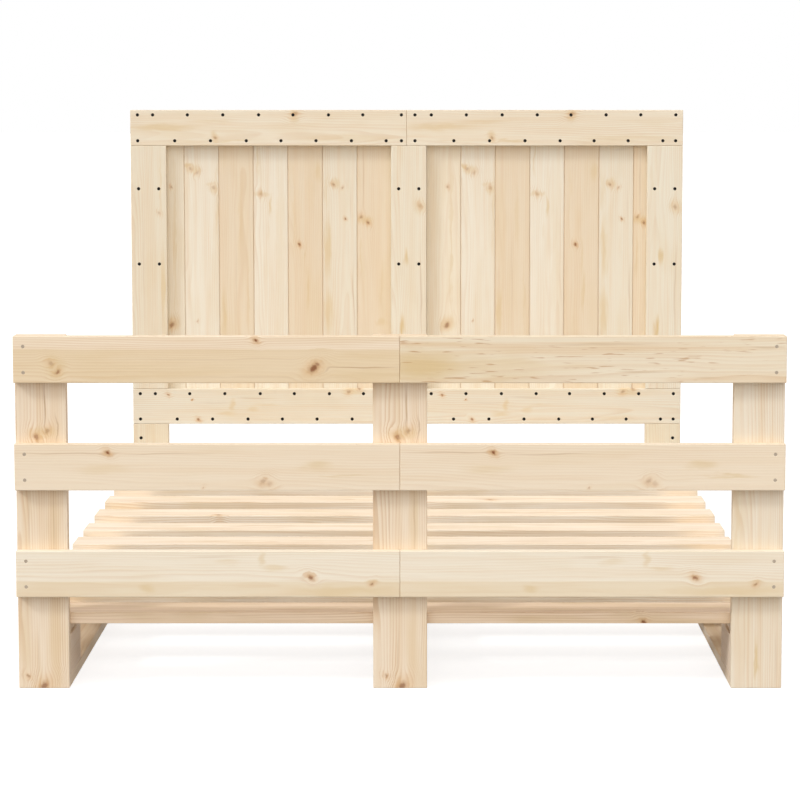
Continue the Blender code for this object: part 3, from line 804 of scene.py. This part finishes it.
# %% Screws in the headboard's rails
UPPER_ROW = (0.13, 1.13, 2.15, 3.18, 4.17, 5.19, 6.18, 7.29, 7.68, 8.15, 9.16, 10.19, 11.20, 12.17, 13.18,
             14.18)
LOWER_ROW = (0.76, 1.79, 2.82, 3.82, 4.83, 5.85, 6.85, 7.29, 7.68, 8.80, 9.83, 10.85, 11.86, 12.84, 13.82,
             14.82)
ROW_RISE = 0.0345
RAIL_END_INSET = 0.0195
HALF_SEAM = 0.00015
first_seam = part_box("headboard_upright_left")[1].x + HALF_SEAM
last_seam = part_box("headboard_upright_right")[0].x - HALF_SEAM
plank_cover = (last_seam - first_seam) / PLANK_COUNT
for rail in ("top", "bottom"):
    low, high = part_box(f"headboard_{rail}_rail_left")[0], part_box(f"headboard_{rail}_rail_right")[1]
    middle = (low.z + high.z) / 2
    places = []
    for row, z in ((UPPER_ROW, middle + ROW_RISE), (LOWER_ROW, middle - ROW_RISE)):
        columns = [first_seam + share * plank_cover for share in row]
        places += [(x, low.y, z) for x in [low.x + RAIL_END_INSET, *columns, high.x - RAIL_END_INSET]]
    add_screws(f"headboard_screws_{rail}_rail", places, BLACK_HEAD, black)

# %% Screws in the stiles and legs
STILE_SCREW_REACH = 0.027
STILE_DROPS = (0.115, 0.317)
LEG_DROP = 0.038
places = []
for side in ("left", "centre", "right"):
    low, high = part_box(f"headboard_stile_{side}")
    for x in ((low.x + high.x) / 2 - STILE_SCREW_REACH, (low.x + high.x) / 2 + STILE_SCREW_REACH):
        places += [(x, low.y, high.z - drop) for drop in STILE_DROPS]
add_screws("headboard_screws_stiles", places, BLACK_HEAD, black)
places = []
for side, outward in (("left", -1), ("right", 1)):
    low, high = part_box(f"headboard_leg_{side}")
    places.append(((low.x + high.x) / 2 + outward * STILE_SCREW_REACH, low.y, high.z - LEG_DROP))
add_screws("headboard_screws_legs", places, BLACK_HEAD, black)

# %% [markdown]
# ## Floor and light
#
# The bed stands on a plain pale floor. For the light that falls on the bed the floor is a matt light grey,
# because a white one throws so much light back that the shade under the boards goes. Only what the camera
# sees of it, straight or in a reflection, is lifted to white, so that hardly any extra light reaches the wood
# and the bed's soft shadow stays.

# %% What the camera sees
def seen_by_camera(tree):
    """1 for rays from the camera, in reflections and through glass, and 0 for light that matt faces take."""
    path = add_node(tree, "ShaderNodeLightPath")
    seen = add_node(tree, "ShaderNodeMath",
                    {0: path.outputs["Is Camera Ray"], 1: path.outputs["Is Glossy Ray"]},
                    operation="MAXIMUM")
    return add_node(tree, "ShaderNodeMath", {0: seen, 1: path.outputs["Is Transmission Ray"]},
                    operation="MAXIMUM")


# %% The floor
FLOOR_GREY = "A8A8A8"
FLOOR_LIFT = 0.78
FLOOR_REACH = 60.0

floor_mesh = bpy.data.meshes.new("floor")
sheet = bmesh.new()
bmesh.ops.create_grid(sheet, x_segments=1, y_segments=1, size=FLOOR_REACH)
sheet.to_mesh(floor_mesh)
sheet.free()
floor = bpy.data.objects.new("floor", floor_mesh)
bpy.context.scene.collection.objects.link(floor)
floor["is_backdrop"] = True

floor_material = bpy.data.materials.new("matt white studio floor")
floor_material.use_nodes = True
tree = floor_material.node_tree
tree.nodes.clear()
matt = add_node(tree, "ShaderNodeBsdfDiffuse", {"Color": linear(FLOOR_GREY)})
seen = seen_by_camera(tree)
lift = add_node(tree, "ShaderNodeMath", {0: seen, 1: FLOOR_LIFT}, operation="MULTIPLY")
glow = add_node(tree, "ShaderNodeEmission", {"Color": (1, 1, 1, 1), "Strength": lift})
both = add_node(tree, "ShaderNodeAddShader", {0: matt, 1: glow})
add_node(tree, "ShaderNodeOutputMaterial", {0: both})
floor_mesh.materials.append(floor_material)
print("floor:", 2 * FLOOR_REACH, "m wide")

# %% [markdown]
# The light is a pale, slightly warm room with one very large soft window and one weaker sun-like lamp. The
# window stands high in front of the bed and spreads over a large part of the sky, so that its shadows are
# soft: close under a board they are dark, and further away they fade. The lamp stands on the left, about 41
# degrees high, and gives what the window can't: the shade of each stile on the plank beside it, and the
# slanting shadow of a post on the first slat. A lamp in the room would light its near side more than its far
# side, so this one has parallel rays, like the sun's.
#
# A faint glow low behind the bed keeps the headboard's back readable. It comes in so flat that the slats and
# the boards that face the foot end hardly change.

# %% The room and the window
ROOM_LIGHT = 0.31
ROOM_TINT = "FFE6DA"
WINDOW_LIGHT = 1.62
WINDOW_SIDE = Vector((-0.05, -0.65, 0.76)).normalized()
WINDOW_EDGE, WINDOW_CORE = 0.50, 0.95
BACK_LIGHT = 0.60
BACK_SIDE = Vector((0.10, 0.97, 0.20)).normalized()
BACK_EDGE, BACK_CORE = 0.40, 0.95
WHITE = "FFFFFF"

world = bpy.data.worlds.new("white room with a window")
world.use_nodes = True
tree = world.node_tree
tree.nodes.clear()
direction = add_node(tree, "ShaderNodeTexCoord").outputs["Generated"]
facing = add_node(tree, "ShaderNodeVectorMath", {0: direction, 1: WINDOW_SIDE}, operation="DOT_PRODUCT")
window = add_node(tree, "ShaderNodeMapRange", {0: facing, 1: WINDOW_EDGE, 2: WINDOW_CORE}, **SOFT_STEP)
daylight = add_node(tree, "ShaderNodeMath", {0: window, 1: WINDOW_LIGHT, 2: ROOM_LIGHT},
                    operation="MULTIPLY_ADD")
facing = add_node(tree, "ShaderNodeVectorMath", {0: direction, 1: BACK_SIDE}, operation="DOT_PRODUCT")
back = add_node(tree, "ShaderNodeMapRange", {0: facing, 1: BACK_EDGE, 2: BACK_CORE}, **SOFT_STEP)
daylight = add_node(tree, "ShaderNodeMath", {0: back, 1: BACK_LIGHT, 2: daylight}, operation="MULTIPLY_ADD")
seen = seen_by_camera(tree)
white = add_node(tree, "ShaderNodeMath", {0: seen, 1: window}, operation="MAXIMUM")
white = add_node(tree, "ShaderNodeMath", {0: white, 1: back}, operation="MAXIMUM")
colour = add_node(tree, "ShaderNodeMix", {0: white, 6: linear(ROOM_TINT), 7: linear(WHITE)}, **COLOUR_MIX)
strength = add_node(tree, "ShaderNodeMapRange", {0: seen, 3: daylight, 4: 1.0})
room = add_node(tree, "ShaderNodeBackground", {"Color": colour, "Strength": strength})
add_node(tree, "ShaderNodeOutputWorld", {0: room})
bpy.context.scene.world = world
print("window stands", round(math.degrees(math.asin(WINDOW_SIDE.z))), "degrees high")

# %% The lamp on the left
LAMP_SIDE = Vector((-0.66, -0.37, 0.65)).normalized()
LAMP_POWER = 1.1
LAMP_SPREAD = math.radians(9)

lamp_data = bpy.data.lights.new("left lamp", "SUN")
lamp_data.energy = LAMP_POWER
lamp_data.angle = LAMP_SPREAD
lamp = bpy.data.objects.new("left lamp", lamp_data)
lamp.rotation_euler = LAMP_SIDE.to_track_quat("Z", "Y").to_euler()
bpy.context.scene.collection.objects.link(lamp)
print("lamp stands", round(math.degrees(math.asin(LAMP_SIDE.z))), "degrees high")

# %% [markdown]
# ## Check the size and finish
#
# The growth of the dressed bed's box over the box of the solids is written, so that a piece that stands out
# shows at once.

# %% Write the sizes and finish
dressed_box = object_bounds()
solid_size, dressed_size = (high - low for low, high in (solid_box, dressed_box))
print("grown by mm:", [round(growth * 1000, 2) for growth in dressed_size - solid_size])
